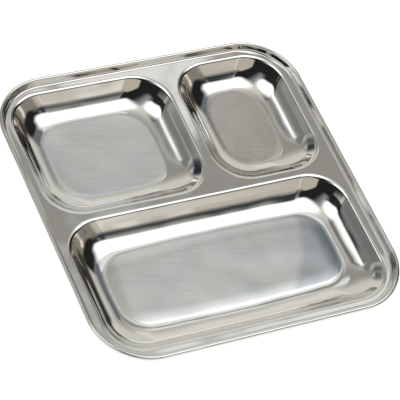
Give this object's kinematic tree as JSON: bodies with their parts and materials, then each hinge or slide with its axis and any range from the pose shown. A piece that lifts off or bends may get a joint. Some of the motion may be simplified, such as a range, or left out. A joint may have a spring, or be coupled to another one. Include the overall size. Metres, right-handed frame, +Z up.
{
  "type": "divided compartment plate",
  "caption": "Near-square pressed steel plate, divided into one long compartment and two unequal ones, with a raised lip and a rolled rim.",
  "frame": {"origin": "centre of the plate's outline, on the surface that it stands on", "axes": "+Z up, +X along the long front compartment with the smaller back compartment on the +X side, +Y from the long compartment to the two behind it"},
  "size_m": [0.24, 0.246, 0.0185],
  "materials": {
    "polished_steel": "polished, with satin floors",
    "steel_wire": "plain drawn wire"
  },
  "bodies": {
    "root": {"pressed_tray": "polished_steel", "rim_wire": "steel_wire"}
  },
  "joints": []
}
